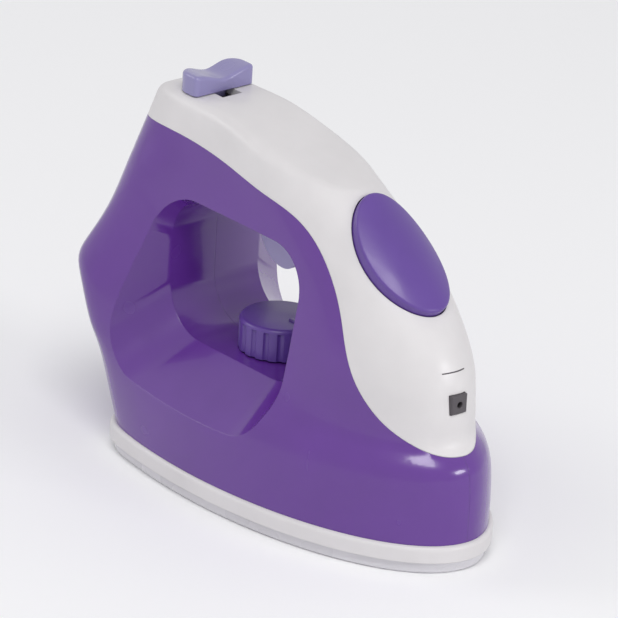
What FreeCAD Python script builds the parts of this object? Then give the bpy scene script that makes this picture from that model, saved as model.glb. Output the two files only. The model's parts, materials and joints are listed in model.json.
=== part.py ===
import FreeCAD, Part
import math
import os

# Toy iron. Millimetres. +X to the nose, +Y to port, +Z up, origin under the middle of the outline.
# Places along the iron are measured back from the nose tip.

V = FreeCAD.Vector
UP, PORT, STARBOARD = V(0, 0, 1), V(0, 1, 0), V(0, -1, 0)
doc = FreeCAD.newDocument("toy_iron")
sheet = doc.addObject("Spreadsheet::Sheet", "sizes")

SIZES = {
    # whole form
    "overall_length": 136.0,
    "overall_width": 67.0,
    "ridge_height": 98.8,
    "shoulder_radius": 4.0,
    "least_shoulder": 0.5,
    "body_wall": 2.2,
    "cover_wall": 2.2,
    # soleplate and the band above it
    "sole_thickness": 3.5,
    "sole_inset": 1.4,
    "sole_edge": 1.0,
    "band_height": 4.5,
    "band_width": 6.0,
    "band_edge": 1.2,
    "band_lip_height": 3.0,
    "band_lip_thickness": 1.6,
    "band_lip_gap": 0.15,
    # hand opening, between a front column and a rear column, under the grip
    "front_column": 51.0,
    "rear_column": 29.0,
    "deck_height": 35.0,
    "grip_depth": 24.8,
    "opening_corner": 13.0,
    "flare_start": 15.0,
    "flare_drop": 13.0,
    "flare_back": 10.0,
    "flare_front": 2.0,
    "flare_rise": 6.0,
    # oval push button on the front slope
    "button_length": 37.0,
    "button_width": 22.0,
    "button_from_nose": 32.0,
    "button_raise": 1.8,
    "button_edge": 0.9,
    "button_wall": 2.0,
    "button_skirt": 9.0,
    "button_flange": 1.2,
    "button_flange_height": 1.4,
    "button_gap": 0.3,
    "button_travel": 2.6,
    # seat of the push button's spring
    "seat_clearance": 1.4,
    "seat_length": 17.0,
    "seat_thickness": 2.0,
    "seat_gap": 0.1,
    "seat_stem_radius": 2.6,
    "seat_stem_height": 5.0,
    "seat_ledge": 4.0,
    "seat_ledge_thickness": 2.0,
    "button_coil_radius": 3.8,
    "button_coil_wire": 0.8,
    "button_coil_gap": 0.8,
    # thumb slider on top of the handle
    "slider_width": 20.0,
    "slider_length": 9.0,
    "slider_reach": 5.7,
    "slider_height": 5.4,
    "slider_dip": 2.0,
    "slider_edge": 1.0,
    "slider_rear_corner": 5.0,
    "slider_front_corner": 1.4,
    "slider_gap": 0.3,
    "slider_travel": 6.0,
    "stem_length": 5.0,
    "stem_width": 6.0,
    "stem_drop": 2.0,
    "keeper_length": 11.0,
    "keeper_width": 12.0,
    "keeper_thickness": 1.6,
    "keeper_screw_radius": 1.0,
    "keeper_screw_length": 4.2,
    "keeper_pilot_spare": 0.4,
    "keeper_head_radius": 2.2,
    "keeper_head_height": 1.3,
    "bow_thickness": 0.4,
    "bow_inset": 0.3,
    "bow_gap": 0.05,
    # spray nozzle insert
    "nozzle_size": 5.2,
    "nozzle_height": 44.5,
    "nozzle_proud": 0.7,
    "nozzle_depth": 3.6,
    "nozzle_bore": 0.9,
    "nozzle_bore_depth": 3.0,
    "nozzle_flange": 1.6,
    "nozzle_edge": 0.5,
    "nozzle_gap": 0.1,
    # thermostat dial in the middle of the deck
    "dial_diameter": 22.0,
    "dial_height": 9.0,
    "dial_wall": 1.8,
    "dial_edge": 1.2,
    "dial_gap": 0.4,
    "dial_grip_radius": 1.0,
    "dial_grip_depth": 0.5,
    "spindle_radius": 3.0,
    "spindle_gap": 0.2,
    "click_wheel_radius": 8.0,
    "click_wheel_height": 2.4,
    "click_notch_radius": 0.7,
    "click_leaf_gap": 0.1,
    "dial_screw_radius": 1.2,
    "dial_screw_length": 7.0,
    "dial_pilot_spare": 0.4,
    "dial_head_radius": 3.4,
    "dial_head_height": 1.6,
    "click_leaf_length": 18.0,
    "click_leaf_thickness": 0.5,
    "click_post": 3.0,
    # trigger under the handle
    "pivot_behind_column": 7.5,
    "pivot_above_grip": 5.8,
    "trigger_width": 10.0,
    "trigger_arm": 31.5,
    "trigger_arm_thickness": 3.2,
    "trigger_hub_radius": 3.0,
    "trigger_pad_start": 4.5,
    "trigger_reach": 25.5,
    "trigger_drop": 13.0,
    "trigger_gap": 0.5,
    "trigger_front_gap": 1.0,
    "trigger_back_gap": 1.5,
    "pin_radius": 1.5,
    "pin_gap": 0.06,
    "pin_length": 20.0,
    "pin_boss_radius": 3.4,
    "trigger_coil_back": 17.5,
    "trigger_coil_radius": 2.4,
    "trigger_coil_wire": 0.6,
    "trigger_coil_spare": 1.1,
    "trigger_coil_gap": 0.1,
    "coil_boss_radius": 3.4,
    # screws that join the body shells, and those under the sole
    "screw_radius": 1.3,
    "screw_hole_gap": 0.2,
    "screw_bite_gap": 0.02,
    "screw_pilot_spare": 1.0,
    "screw_head_radius": 2.6,
    "screw_head_height": 1.6,
    "screw_boss_radius": 3.6,
    "screw_well_radius": 3.0,
    "screw_well_wall": 1.5,
    "screw_neck": 7.0,
    "screw_bite": 8.0,
    "driver_slot_width": 0.7,
    "driver_slot_depth": 0.8,
    "lug_thickness": 3.0,
    "lug_width": 6.0,
    "lug_gap": 0.1,
    "sole_screw_length": 13.0,
    "sole_head_inset": 0.2,
    "sole_boss_top": 24.0,
    "sole_web_bottom": 11.5,
    "sole_web_thickness": 2.0,
    "overrun": 2.0,
}

# Counts and the trigger's angle
BUTTON_COIL_TURNS = 6
TRIGGER_COIL_TURNS = 5
TURNS_PER_FACE = 0.5
TRIGGER_SWING_DEGREES = 7
DIAL_GRIPS = 18
CLICK_NOTCHES = 16

# Screws that join the shells: shares of the length and of the ridge height.
SHELL_SCREW_SHARES = {
    "rear_upper": (0.893, 0.709),
    "rear_lower": (0.860, 0.223),
    "front_upper": (0.250, 0.368),
    "front_lower": (0.155, 0.182),
}
# Screws under the sole: shares of the length and of the half width.
SOLE_SCREW_SHARES = ((0.220, 0.29), (0.765, 0.54))
# The thumb slider's place: share of the length.
SLIDER_SHARE = 0.8235
# Reach of the push button's chord up and down the slope: share of its length.
SLOPE_REACH_SHARE = 0.25
# How near to the oval an edge of the push button lies: share of the oval's size.
OVAL_EDGE_SHARE = 0.02
# Lower outline of the trigger's pad: shares of its length back, then of its drop up.
PAD_SHARES = ((0.116, 0.55), (0.45, 0.0), (0.846, 0.22), (1.0, 0.80))

for row, (alias, value) in enumerate(SIZES.items(), start=1):
    sheet.set("A%d" % row, alias.replace("_", " "))
    sheet.set("B%d" % row, str(value))
    sheet.setAlias("B%d" % row, alias)
doc.recompute()


def size(alias):
    return float(getattr(sheet, alias))


def worked_out(expression):
    """Value of an expression in the sheet's cells."""
    return float(sheet.evalExpression(expression))


# Places and heights that several pieces share, as expressions in the sheet's cells
HALF_LENGTH = "sizes.overall_length / 2"
BAND_TOP = "sizes.sole_thickness + sizes.band_height"
SLIDER_X = "(0.5 - %g) * sizes.overall_length" % SLIDER_SHARE
STEM_LOW = "sizes.ridge_height - sizes.cover_wall - sizes.stem_drop"
DIAL_X = "(sizes.rear_column - sizes.front_column) / 2"
DIAL_BASE = "sizes.deck_height + sizes.dial_gap"
CLICK_TOP = "sizes.deck_height - sizes.body_wall - sizes.dial_gap"
CLICK_LOW = CLICK_TOP + " - sizes.click_wheel_height"
CLICK_LEAF_Y = "sizes.click_wheel_radius + sizes.click_leaf_gap"
GRIP_LOW = "sizes.ridge_height - sizes.grip_depth"
PIVOT_X = HALF_LENGTH + " - sizes.front_column - sizes.pivot_behind_column"
PIVOT_Z = GRIP_LOW + " + sizes.pivot_above_grip"
ARM_LOW = GRIP_LOW + " + sizes.body_wall + sizes.trigger_gap / 2"
ARM_TOP = ARM_LOW + " + sizes.trigger_arm_thickness"

LENGTH = size("overall_length")
HALF_WIDTH = size("overall_width") / 2
RIDGE = size("ridge_height")
GRIP_UNDERSIDE = worked_out(GRIP_LOW)
SOLE_TOP = size("sole_thickness")
BODY_BASE = worked_out(BAND_TOP)
OVERRUN = size("overrun")

# Plan outlines, each level as shares: height of the ridge, then nose, front run and heel of the length,
# then front and rear half-widths of the overall half-width.
LEVEL_SHARES = (
    (-0.060, 0.009, 0.545, 0.846, 0.970, 0.868),
    (0.081, 0.009, 0.545, 0.876, 0.970, 0.880),
    (0.200, 0.009, 0.545, 0.906, 0.962, 0.888),
    (0.260, 0.013, 0.540, 0.921, 0.935, 0.888),
    (0.297, 0.025, 0.520, 0.932, 0.890, 0.885),
    (0.325, 0.045, 0.480, 0.941, 0.835, 0.880),
    (0.385, 0.054, 0.400, 0.960, 0.740, 0.866),
    (0.445, 0.058, 0.335, 0.983, 0.685, 0.846),
    (0.490, 0.063, 0.300, 1.001, 0.655, 0.812),
    (0.535, 0.075, 0.275, 0.996, 0.630, 0.758),
    (0.628, 0.116, 0.240, 0.974, 0.578, 0.640),
    (0.769, 0.213, 0.205, 0.948, 0.505, 0.520),
    (0.891, 0.335, 0.190, 0.926, 0.435, 0.425),
    (1.070, 0.520, 0.180, 0.893, 0.335, 0.320),
)
# Where the outline's points lie, as shares of the way from the nose to the heel.
HALF_ROUND_SHARES = (0.0, 0.05, 0.12, 0.21, 0.32, 0.44, 0.56, 0.67, 0.755, 0.805, 0.850, 0.895, 0.940, 1.0)
CORNER_RUN_SHARE = 0.10
CORNER_DEPTH_SHARE = 0.42
OUTLINE_STEPS = 40

# Top line of the handle and the cover's lower edge: shares of length, then of ridge height.
RIDGE_SHARES = ((-0.06, 0.830), (0.16, 0.868), (0.29, 0.898), (0.42, 0.930), (0.59, 0.976), (0.72, 1.0))
PLATEAU_END_SHARE = 0.868
REAR_SHARES = ((0.912, 0.974), (0.940, 0.915))
HEEL_KNEE_SHARE = 0.72
COVER_EDGE_SHARES = (
    (-0.060, 0.314),
    (0.052, 0.319),
    (0.118, 0.366),
    (0.181, 0.446),
    (0.231, 0.554),
    (0.267, 0.652),
    (0.307, 0.727),
    (0.354, 0.785),
    (0.419, 0.832),
    (0.536, 0.862),
    (0.655, 0.890),
    (0.800, 0.905),
    (0.900, 0.902),
    (1.050, 0.895),
)

ROUND_SHARES = [share / 2 for share in HALF_ROUND_SHARES]
ROUND_SHARES += [1 - share / 2 for share in reversed(HALF_ROUND_SHARES[:-1])]


# Document objects bound to the sheet

def primitive(kind, name, place=("0", "0", "0"), axis=UP, **bindings):
    """Primitive with bound sizes and place; its own Z axis points along the given one."""
    piece = doc.addObject("Part::" + kind, name)
    piece.Placement = FreeCAD.Placement(V(), FreeCAD.Rotation(UP, axis))
    for letter, expression in zip("xyz", place):
        piece.setExpression("Placement.Base." + letter, expression)
    for field, expression in bindings.items():
        piece.setExpression(field, expression)
    return piece


def round_bar(name, place, radius, height, axis=UP):
    return primitive("Cylinder", name, place, axis, Radius=radius, Height=height)


def fused(name, *pieces):
    made = doc.addObject("Part::MultiFuse", name)
    made.Shapes = list(pieces)
    made.Refine = True
    return made


def less(name, base, *tools):
    """The base with the tools taken away."""
    made = doc.addObject("Part::Cut", name)
    made.Base = base
    made.Tool = tools[0] if len(tools) == 1 else fused(name + "_tools", *tools)
    return made


def group(name, pieces):
    made = doc.addObject("Part::Compound", name)
    made.Links = pieces
    return made


def feature(name, shape):
    made = doc.addObject("Part::Feature", name)
    made.Shape = shape
    return made


def coil(name, radius, wire, turns, length, rise="0"):
    """Compression spring standing at a height above the origin, wire centres on the given radius."""
    path = primitive(
        "Helix", name + "_path", ("0", "0", "%s + %s / 2" % (rise, wire)), Radius=radius,
        Pitch="(%s - %s) / %d" % (length, wire, turns), Height="%s - %s" % (length, wire),
    )
    path.SegmentLength = TURNS_PER_FACE
    section = primitive(
        "Circle", name + "_section", (radius, "0", "%s + %s / 2" % (rise, wire)), STARBOARD,
        Radius=wire + " / 2",
    )
    spring = doc.addObject("Part::Sweep", name)
    spring.Sections = [section]
    spring.Spine = (path, [])
    spring.Solid = True
    spring.Frenet = True
    return spring


# The outer form

def along(back):
    return LENGTH / 2 - back


def curve(points, start=None, end=None):
    line = Part.BSplineCurve()
    if start is None:
        line.interpolate(points)
    else:
        line.interpolate(Points=points, InitialTangent=start, FinalTangent=end)
    return line.toShape()


def bend(start, toward, end, share):
    """Point on the parabola between two points that a third one draws out."""
    weights = ((1 - share) ** 2, 2 * share * (1 - share), share ** 2)
    return tuple(weights[0] * a + weights[1] * b + weights[2] * c for a, b, c in zip(start, toward, end))


def half_outline(nose, run, heel, half, rear_half, corner_run, corner_depth):
    """Fine points (back, side) of a quarter ellipse, a curved flank, a rounded corner and the heel."""
    wide = (nose + run, half)
    corner = (heel - corner_run, rear_half)
    middle = ((wide[0] + corner[0]) / 2, half)
    slope = (rear_half - half) / (corner[0] - middle[0])
    tip = (heel, rear_half + slope * corner_run)
    corner_end = (heel, tip[1] - corner_depth)
    steps = [i / OUTLINE_STEPS for i in range(OUTLINE_STEPS + 1)]
    quarter = math.pi / 2
    points = [(nose + run * (1 - math.cos(t * quarter)), half * math.sin(t * quarter)) for t in steps]
    points += [bend(wide, middle, corner, t) for t in steps[1:]]
    points += [bend(corner, tip, corner_end, t) for t in steps[1:]]
    return points + [(heel, 0.0)]


def spread(points, shares):
    """Points at shares of a fine line's length."""
    lengths = [0.0]
    for a, b in zip(points, points[1:]):
        lengths.append(lengths[-1] + math.dist(a, b))
    found = []
    for share in shares:
        target = share * lengths[-1]
        i = max(1, next((k for k, reached in enumerate(lengths) if reached >= target), len(points) - 1))
        part = (target - lengths[i - 1]) / (lengths[i] - lengths[i - 1])
        a, b = points[i - 1], points[i]
        found.append((a[0] + (b[0] - a[0]) * part, a[1] + (b[1] - a[1]) * part))
    return found


def plan_outline(height, nose, run, heel, half, rear_half, inset=0.0):
    """Closed curve of one level, nose first, round by starboard."""
    corner_run = LENGTH * CORNER_RUN_SHARE - inset
    corner_depth = rear_half * CORNER_DEPTH_SHARE - inset
    fine = half_outline(
        nose + inset, run - inset, heel - inset, half - inset, rear_half - inset, corner_run, corner_depth
    )
    side = spread(fine, HALF_ROUND_SHARES)
    points = [V(along(b), -w, height) for b, w in side]
    points += [V(along(b), w, height) for b, w in reversed(side[1:-1])]
    line = Part.BSplineCurve()
    line.interpolate(Points=points, PeriodicFlag=True, Parameters=ROUND_SHARES)
    return line


def level_outline(shares, inset):
    height, nose, run, heel, half, rear_half = shares
    return plan_outline(
        height * RIDGE - inset / 2, nose * LENGTH, run * LENGTH, heel * LENGTH,
        half * HALF_WIDTH, rear_half * HALF_WIDTH, inset,
    )


def level_block(inset):
    """Solid whose side passes smoothly through the outlines of all levels, which share their knots."""
    outlines = [level_outline(shares, inset) for shares in LEVEL_SHARES]
    heights = [shares[0] for shares in LEVEL_SHARES]
    columns = []
    for poles in zip(*[outline.getPoles() for outline in outlines]):
        column = Part.BSplineCurve()
        column.interpolate(Points=list(poles), Parameters=heights)
        columns.append(column)
    around, upward = outlines[0], columns[0]
    side = Part.BSplineSurface()
    side.buildFromPolesMultsKnots(
        [column.getPoles() for column in columns], around.getMultiplicities(), upward.getMultiplicities(),
        around.getKnots(), upward.getKnots(), True, False, around.Degree, upward.Degree,
    )
    ends = [Part.Face(Part.Wire(outline.toShape())) for outline in (outlines[0], outlines[-1])]
    shell = Part.Shell([side.toShape()] + ends)
    shell.sewShape()
    return Part.makeSolid(shell)


def across(face):
    """A face in the centre plane, drawn out to both sides past the whole width."""
    reach = HALF_WIDTH + OVERRUN
    face.translate(V(0, -reach, 0))
    return face.extrude(V(0, 2 * reach, 0))


def side_point(back_share, height_share, inset=0.0):
    return V(along(back_share * LENGTH), 0, height_share * RIDGE - inset)


def profile_block(inset):
    """What lies under the handle's top line and ahead of the heel."""
    top = [side_point(b, z, inset) for b, z in RIDGE_SHARES]
    plateau_end = side_point(PLATEAU_END_SHARE, 1.0, inset)
    rear = [plateau_end] + [V(side_point(b, z).x + inset, 0, z * RIDGE - inset) for b, z in REAR_SHARES]
    first_slope = (top[1] - top[0]).normalize()
    last_slope = V(-1, 0, -HEEL_KNEE_SHARE).normalize()
    heel = along(LENGTH) + inset
    knee = V(heel, 0, HEEL_KNEE_SHARE * RIDGE)
    floor = -OVERRUN + inset / 2
    floor_back = V(heel, 0, floor)
    floor_front = V(top[0].x, 0, floor)
    edges = [
        curve(top, first_slope, V(-1, 0, 0)),
        Part.makeLine(top[-1], plateau_end),
        curve(rear, V(-1, 0, 0), last_slope),
        Part.makeLine(rear[-1], knee),
        Part.makeLine(knee, floor_back),
        Part.makeLine(floor_back, floor_front),
        Part.makeLine(floor_front, top[0]),
    ]
    return across(Part.Face(Part.Wire(edges)))


def edge_middle(edge):
    return edge.valueAt((edge.FirstParameter + edge.LastParameter) / 2)


def on_top_line(edge, inset):
    """True where an edge lies on the handle's top surface and bounds its flank."""
    middle = edge_middle(edge)
    return abs(middle.y) > OVERRUN and middle.z > RIDGE * REAR_SHARES[-1][1] - inset - OVERRUN


FORMS = {}
HOLLOWS = {}


def form(inset):
    """The iron's outer shape drawn in by a wall, with its shoulders rounded."""
    if inset not in FORMS:
        block = level_block(inset).common(profile_block(inset))
        radius = size("shoulder_radius") - inset
        if radius > size("least_shoulder"):
            block = block.makeFillet(radius, [edge for edge in block.Edges if on_top_line(edge, inset)])
        FORMS[inset] = block
    return FORMS[inset]


def hollow_form(wall):
    """The outer shape with a cavity inside it, a wall's thickness in."""
    if wall not in HOLLOWS:
        walls = [form(0.0).Shells[0], form(wall).Shells[0].reversed()]
        HOLLOWS[wall] = Part.makeSolid(Part.makeCompound(walls))
    return HOLLOWS[wall]


def opening_corner():
    """The opening's corner radius, which leaves the dial its room on the deck."""
    length = LENGTH - size("rear_column") - size("front_column")
    return min(size("opening_corner"), (length - size("dial_diameter")) / 2 - size("dial_gap"))


def rounded_outline(front, back, low, high, radius, y):
    """Rounded rectangle across the iron at one side position."""
    x_front, x_back = along(front), along(back)
    r = radius
    k = r * (1 - math.sqrt(0.5))
    corners = (
        (V(x_front - r, y, low), V(x_front - k, y, low + k), V(x_front, y, low + r)),
        (V(x_front, y, high - r), V(x_front - k, y, high - k), V(x_front - r, y, high)),
        (V(x_back + r, y, high), V(x_back + k, y, high - k), V(x_back, y, high - r)),
        (V(x_back, y, low + r), V(x_back + k, y, low + k), V(x_back + r, y, low)),
    )
    edges = []
    for i, (a, m, b) in enumerate(corners):
        edges.append(Part.Arc(a, m, b).toShape())
        edges.append(Part.makeLine(b, corners[(i + 1) % len(corners)][0]))
    return Part.Wire(edges)


def hand_hole(grow):
    """The space a hand goes through, with its flared mouths, grown by a wall."""
    front = size("front_column") - grow
    back = LENGTH - size("rear_column") + grow
    low, high = size("deck_height") - grow, GRIP_UNDERSIDE + grow
    radius = opening_corner() + grow
    start = size("flare_start")
    reach = HALF_WIDTH + OVERRUN
    shares = (reach - start) / (HALF_WIDTH - start)
    hole = Part.Face(rounded_outline(front, back, low, high, radius, -start)).extrude(V(0, 2 * start, 0))
    for side in (-1, 1):
        inner = rounded_outline(front, back, low, high, radius, side * start)
        outer_mouth = rounded_outline(
            front - size("flare_front") * shares, back + size("flare_back") * shares,
            low - size("flare_drop") * shares, high + size("flare_rise") * shares,
            radius, side * reach,
        )
        hole = hole.fuse(Part.makeLoft([inner, outer_mouth], True, True))
    return hole


def above_cover_edge():
    """Everything over the cover's lower edge."""
    line = [side_point(b, z) for b, z in COVER_EDGE_SHARES]
    top = RIDGE * LEVEL_SHARES[-1][0] + OVERRUN
    edges = [
        curve(line),
        Part.makeLine(line[-1], V(line[-1].x, 0, top)),
        Part.makeLine(V(line[-1].x, 0, top), V(line[0].x, 0, top)),
        Part.makeLine(V(line[0].x, 0, top), line[0]),
    ]
    return across(Part.Face(Part.Wire(edges)))


def slab(low, high):
    """Everything between two heights."""
    reach = LENGTH + OVERRUN
    return Part.makeBox(2 * reach, 2 * reach, high - low, V(-reach, -reach, low))


def half_space(side):
    reach = LENGTH + OVERRUN
    start = 0 if side > 0 else -reach
    return Part.makeBox(2 * reach, reach, 2 * reach, V(-reach, start, -OVERRUN))


def surface_height(back):
    """Height of the outer form on the centre plane."""
    line = Part.makeLine(V(along(back), 0, 0), V(along(back), 0, 2 * RIDGE))
    return outer.common(line).BoundBox.ZMax


def surface_back(height):
    """Distance back from the nose of the outer form's front on the centre plane."""
    line = Part.makeLine(V(0, 0, height), V(LENGTH, 0, height))
    return LENGTH / 2 - outer.common(line).BoundBox.XMax


def rod(radius, start, direction, length):
    return Part.makeCylinder(radius, length, start, direction)


outer = form(0.0)

# Frame of the push button: origin on the cover, X up the slope, Z out of it.
slope_reach = size("button_length") * SLOPE_REACH_SHARE
back_middle = size("button_from_nose")
low_point = V(along(back_middle - slope_reach), 0, surface_height(back_middle - slope_reach))
high_point = V(along(back_middle + slope_reach), 0, surface_height(back_middle + slope_reach))
up_slope = (high_point - low_point).normalize()
out_of_slope = V(up_slope.z, 0, -up_slope.x)
button_origin = V(along(back_middle), 0, surface_height(back_middle))
button_frame = FreeCAD.Placement(
    button_origin, FreeCAD.Rotation(up_slope, STARBOARD, out_of_slope, "ZXY")
)
# The seat lies under the skirt's lowest place, measured out of the slope.
SEAT_TOP = "-(sizes.button_skirt + sizes.button_travel + sizes.seat_clearance)"


def on_slope(shape):
    shape.Placement = button_frame.multiply(shape.Placement)
    return shape


def oval(grow, low, high):
    """Oval prism square to the front slope, with the button's outline grown by a gap."""
    ring = Part.Ellipse(V(0, 0, low), size("button_length") / 2 + grow, size("button_width") / 2 + grow)
    return on_slope(Part.Face(Part.Wire(ring.toShape())).extrude(V(0, 0, high - low)))


# Push button with its spring and seat

def is_button_rim(edge):
    """True for an edge between the button's top and its side."""
    upright = button_frame.inverse()
    start = upright.multVec(edge.valueAt(edge.FirstParameter))
    end = upright.multVec(edge.valueAt(edge.LastParameter))
    middle = upright.multVec(edge_middle(edge))
    ring = (2 * middle.x / size("button_length")) ** 2 + (2 * middle.y / size("button_width")) ** 2
    climbs = abs(end.z - start.z) > math.hypot(end.x - start.x, end.y - start.y)
    above_skirt = middle.z > size("button_flange_height") - size("button_skirt")
    return abs(ring - 1) < OVAL_EDGE_SHARE and above_skirt and not climbs


def build_steam_button():
    skirt, wall, rise = -size("button_skirt"), size("button_wall"), size("button_raise")
    cap = oval(0.0, skirt, size("button_skirt")).common(form(-rise))
    cap = cap.makeFillet(size("button_edge"), [edge for edge in cap.Edges if is_button_rim(edge)])
    flange = oval(size("button_flange"), skirt, skirt + size("button_flange_height"))
    flange = flange.common(form(size("cover_wall") + size("button_gap")))
    hollow = oval(-wall, skirt - wall, size("button_skirt")).common(form(wall - rise))
    return feature("steam_button", cap.fuse(flange).cut(hollow))


def build_button_spring():
    length = "sizes.button_raise - sizes.button_wall - %s - sizes.button_coil_gap" % SEAT_TOP
    spring = coil(
        "button_spring", "sizes.button_coil_radius", "sizes.button_coil_wire", BUTTON_COIL_TURNS,
        "(%s)" % length, SEAT_TOP,
    )
    spring.Placement = button_frame
    return spring


def build_button_seat():
    """Plate across the front column with a stem inside the button's spring."""
    length, thick = size("seat_length"), size("seat_thickness")
    top = worked_out(SEAT_TOP)
    reach = size("overall_width")
    plate = on_slope(Part.makeBox(length, reach, thick, V(-length / 2, -reach / 2, top - thick)))
    plate = plate.common(form(size("body_wall") + size("seat_gap")))
    stem = on_slope(rod(size("seat_stem_radius"), V(0, 0, top), UP, size("seat_stem_height")))
    return feature("button_seat", plate.fuse(stem))


def seat_ledges():
    """Ledges inside the shells that the plate of the button's spring lies on."""
    length = size("seat_length")
    thick = size("seat_ledge_thickness")
    low = worked_out(SEAT_TOP) - size("seat_thickness") - thick
    ledges = on_slope(Part.makeBox(length, 2 * HALF_WIDTH, thick, V(-length / 2, -HALF_WIDTH, low)))
    half_inside = form(size("body_wall") + size("seat_ledge"))
    return ledges.cut(half_inside).common(outer)


# Spray nozzle

def spray_nozzle_place():
    height = size("nozzle_height")
    return V(along(surface_back(height)), 0, height)


def square_rod(width, start, end, place):
    return Part.makeBox(start - end, width, width, V(end, place.y - width / 2, place.z - width / 2))


def build_spray_nozzle():
    place = spray_nozzle_place()
    front = place.x + size("nozzle_proud")
    wall, depth = size("cover_wall"), size("nozzle_bore_depth")
    back = place.x - wall - size("nozzle_depth")
    width = size("nozzle_size")
    body = square_rod(width, front, back, place)
    face_edges = [e for e in body.Edges if e.BoundBox.XMin > front - size("nozzle_edge")]
    body = body.makeFillet(size("nozzle_edge"), face_edges)
    flange = square_rod(width + 2 * size("nozzle_flange"), place.x, back, place)
    flange = flange.common(form(wall + size("nozzle_gap")))
    bore = rod(size("nozzle_bore"), V(front - depth, 0, place.z), V(1, 0, 0), depth + OVERRUN)
    return feature("spray_nozzle", body.fuse(flange).cut(bore))


# Thumb slider with its keeper, screw and bowed strip

def build_thumb_slider():
    x, ridge = worked_out(SLIDER_X), RIDGE
    half, length = size("slider_width") / 2, size("slider_length")
    base = ridge + size("slider_gap")
    tall = base + size("slider_height")
    back = x + size("slider_reach") - length
    dip = [V(back, -half, tall), V(back, 0, tall - size("slider_dip")), V(back, half, tall)]
    top = curve(dip, PORT, PORT)
    under = Part.makePolygon([dip[-1], V(back, half, base), V(back, -half, base), dip[0]])
    cap = Part.Face(Part.Wire([top] + under.Edges)).extrude(V(length, 0, 0))
    for end, corner in ((back, "slider_rear_corner"), (back + length, "slider_front_corner")):
        near = size("slider_edge") / 2
        uprights = [e for e in cap.Edges if e.BoundBox.YLength < near and abs(edge_middle(e).x - end) < near]
        cap = cap.makeFillet(size(corner), uprights)
    foot = base + (size("slider_height") - size("slider_dip")) / 2
    rim = [e for e in cap.Edges if e.BoundBox.ZMin > foot]
    cap = feature("slider_cap", cap.makeFillet(size("slider_edge"), rim))
    stem = primitive(
        "Box", "slider_stem",
        (SLIDER_X + " - sizes.stem_length / 2", "-sizes.stem_width / 2", STEM_LOW),
        Length="sizes.stem_length", Width="sizes.stem_width",
        Height="sizes.cover_wall + sizes.stem_drop + 2 * sizes.slider_gap",
    )
    pilot = round_bar(
        "slider_pilot", (SLIDER_X, "0", STEM_LOW), "sizes.keeper_screw_radius + sizes.screw_bite_gap",
        "sizes.keeper_screw_length - sizes.keeper_thickness + sizes.keeper_pilot_spare",
    )
    return less("thumb_slider", fused("slider_body", cap, stem), pilot)


def build_slider_keeper():
    plate = primitive(
        "Box", "keeper_plate",
        (SLIDER_X + " - sizes.keeper_length / 2", "-sizes.keeper_width / 2",
         STEM_LOW + " - sizes.keeper_thickness"),
        Length="sizes.keeper_length", Width="sizes.keeper_width", Height="sizes.keeper_thickness",
    )
    hole = round_bar(
        "keeper_hole", (SLIDER_X, "0", STEM_LOW + " - sizes.keeper_thickness"),
        "sizes.keeper_screw_radius + sizes.screw_hole_gap", "sizes.keeper_thickness",
    )
    return less("slider_keeper", plate, hole)


def upward_screw(name, x, seat, family, radius, length):
    """Screw that goes up from its seat; its head's sizes are the family's."""
    height = "sizes.%s_head_height" % family
    low = "%s - %s" % (seat, height)
    head = round_bar(name + "_head", (x, "0", low), "sizes.%s_head_radius" % family, height)
    shaft = round_bar(name + "_shaft", (x, "0", seat), radius, length)
    return fused(name, head, shaft)


def build_keeper_screw():
    return upward_screw(
        "keeper_screw", SLIDER_X, STEM_LOW + " - sizes.keeper_thickness", "keeper",
        "sizes.keeper_screw_radius", "sizes.keeper_screw_length",
    )


def build_slider_bow_spring():
    """Bowed strip round the stem that keeps the slider where it is put."""
    x, low = worked_out(SLIDER_X), worked_out(STEM_LOW)
    high = RIDGE - size("cover_wall") - size("bow_gap")
    half = size("keeper_length") / 2 - size("bow_inset")
    thick = size("bow_thickness")
    y = size("keeper_width") / 2 - size("bow_inset")
    ends = [V(x - half, -y, low), V(x + half, -y, low)]
    lifted = [end + V(0, 0, thick) for end in ends]
    edges = [
        Part.Arc(lifted[0], V(x, -y, high), lifted[1]).toShape(),
        Part.makeLine(lifted[1], ends[1]),
        Part.Arc(ends[1], V(x, -y, high - thick), ends[0]).toShape(),
        Part.makeLine(ends[0], lifted[0]),
    ]
    strip = feature("bow_strip", Part.Face(Part.Wire(edges)).extrude(V(0, 2 * y, 0)))
    hole = primitive(
        "Box", "bow_hole",
        (SLIDER_X + " - sizes.stem_length / 2 - sizes.slider_gap", "-sizes.stem_width / 2 - sizes.slider_gap",
         STEM_LOW),
        Length="sizes.stem_length + 2 * sizes.slider_gap", Width="sizes.stem_width + 2 * sizes.slider_gap",
        Height="sizes.cover_wall + sizes.stem_drop",
    )
    return less("slider_bow_spring", strip, hole)


# Dial with its click wheel, leaf and screw

def ring_of_bars(name, count, reach, low, radius, height):
    """Upright round bars evenly round the dial's axis."""
    bars = []
    for i in range(count):
        turn = 360 * i / count
        x = "%s + (%s) * cos(%g)" % (DIAL_X, reach, turn)
        y = "(%s) * sin(%g)" % (reach, turn)
        bars.append(round_bar("%s_%d" % (name, i + 1), (x, y, low), radius, height))
    return bars


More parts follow.
